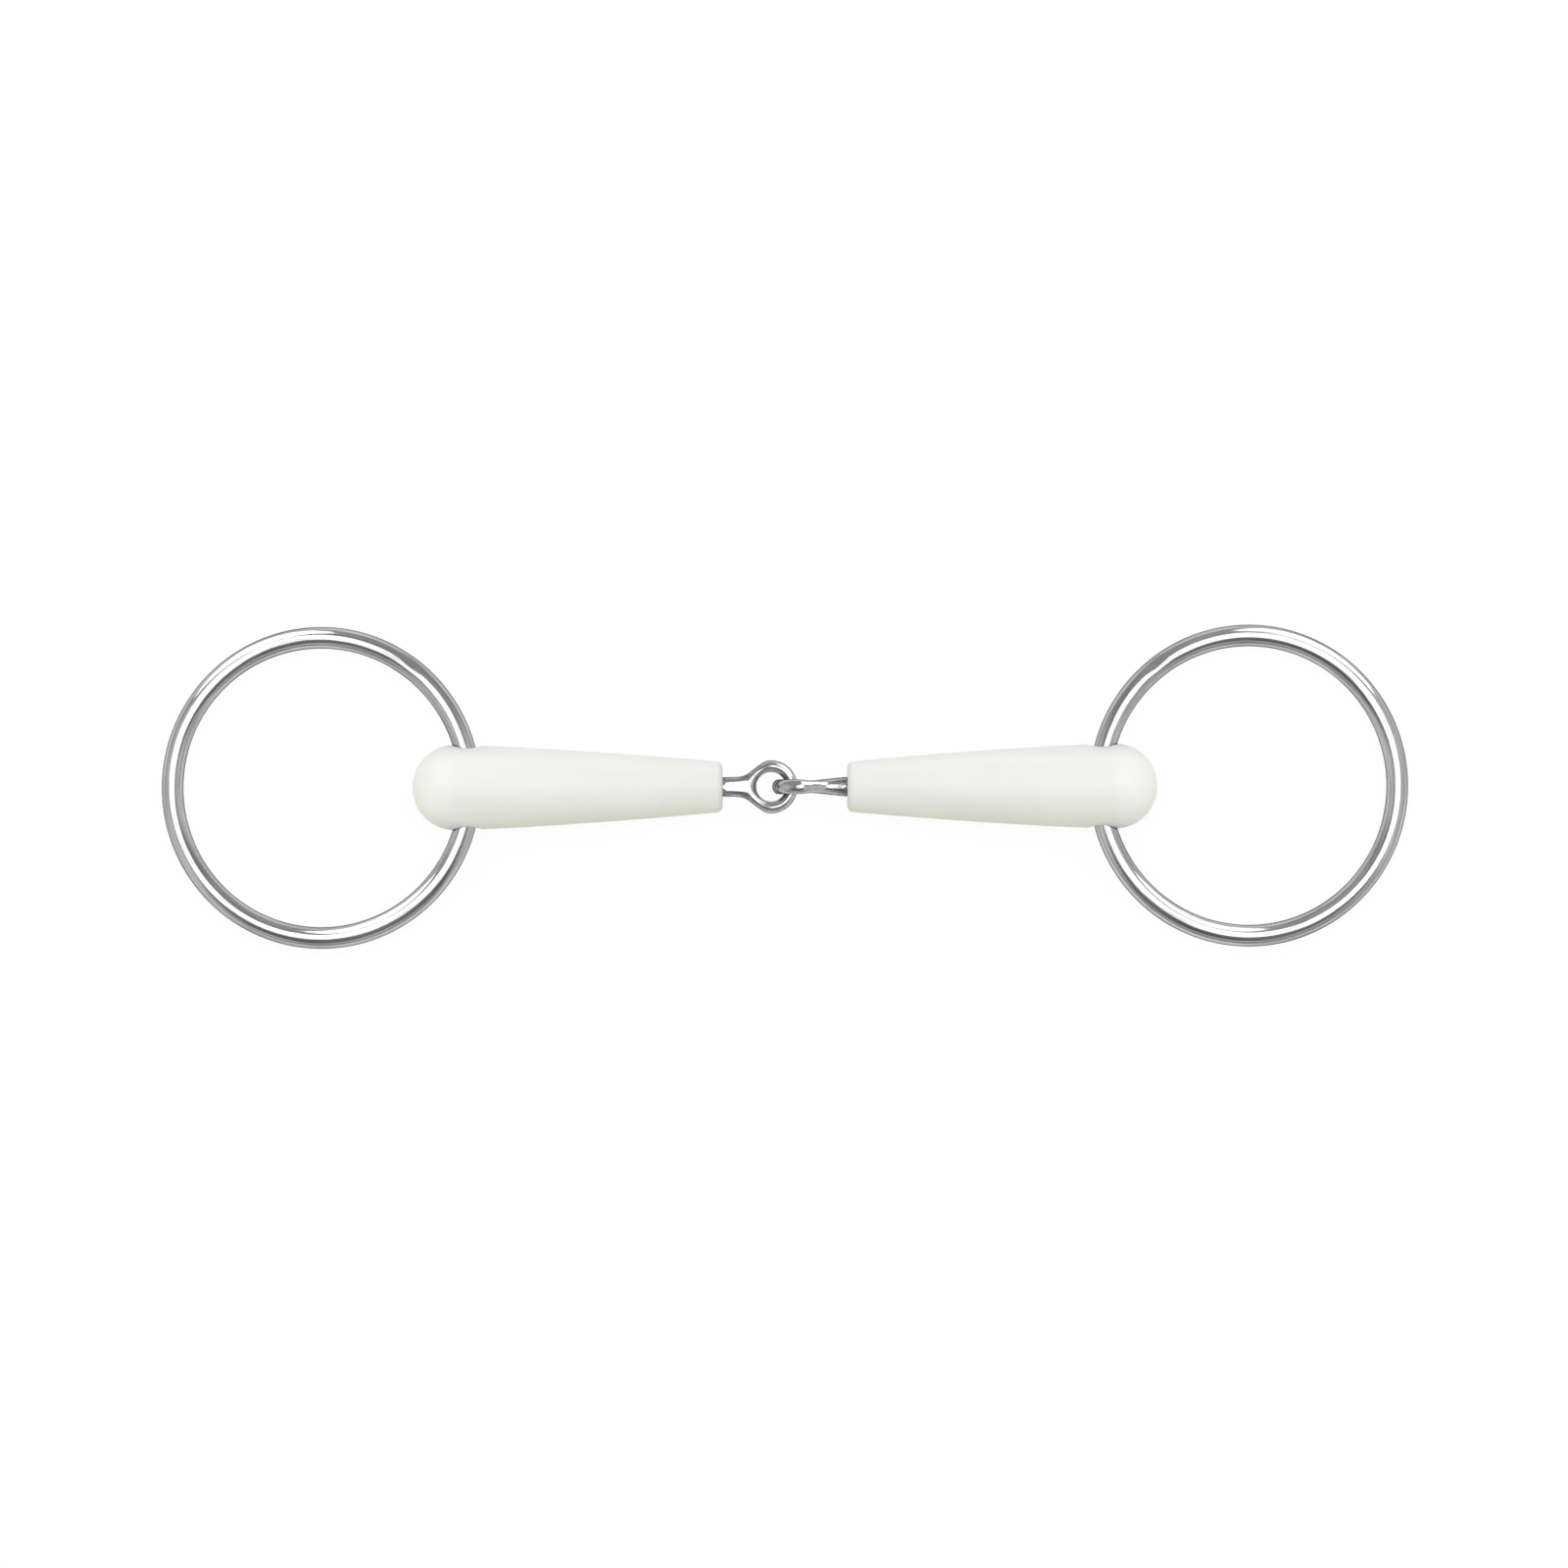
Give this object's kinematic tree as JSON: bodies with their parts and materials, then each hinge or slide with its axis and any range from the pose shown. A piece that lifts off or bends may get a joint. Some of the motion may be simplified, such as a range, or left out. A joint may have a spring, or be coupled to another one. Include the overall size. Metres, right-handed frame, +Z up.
{
  "type": "snaffle bit",
  "caption": "Jointed loose-ring snaffle bit: tapered plastic mouthpiece sleeves over steel cores hooked eye to eye, with round steel rings swivelling in holes through the outer ends.",
  "frame": {"origin": "on the table under the middle joint, at the centre of the bit's footprint", "axes": "+X along the mouthpiece towards the right ring, +Y along the holes that the rings pass through, +Z up from the table that the bit lies on"},
  "size_m": [0.2678, 0.069, 0.0183],
  "materials": {
    "core_steel": "polished stainless steel, rougher beside the sleeves",
    "sleeve_plastic": "satin, milky off-white",
    "ring_steel": "polished stainless steel"
  },
  "bodies": {
    "left_arm": {"left_core": "core_steel", "left_sleeve": "sleeve_plastic"},
    "right_arm": {"right_core": "core_steel", "right_sleeve": "sleeve_plastic"},
    "left_ring": {"left_ring": "ring_steel"},
    "right_ring": {"right_ring": "ring_steel"}
  },
  "joints": [
    {"name": "mouthpiece_fold", "type": "hinge", "parent": "left_arm", "child": "right_arm", "pos_m": [-0.003, 0, 0.00913], "axis": [0, 0, 1], "range_deg": [-110, 110]},
    {"name": "left_ring_swivel", "type": "hinge", "parent": "left_arm", "child": "left_ring", "pos_m": [-0.06816, 0, 0.00913], "axis": [0, 1, 0], "range_deg": [-113, 126]},
    {"name": "right_ring_swivel", "type": "hinge", "parent": "right_arm", "child": "right_ring", "pos_m": [0.06816, 0, 0.00913], "axis": [0, -1, 0], "range_deg": [-113, 126]}
  ]
}
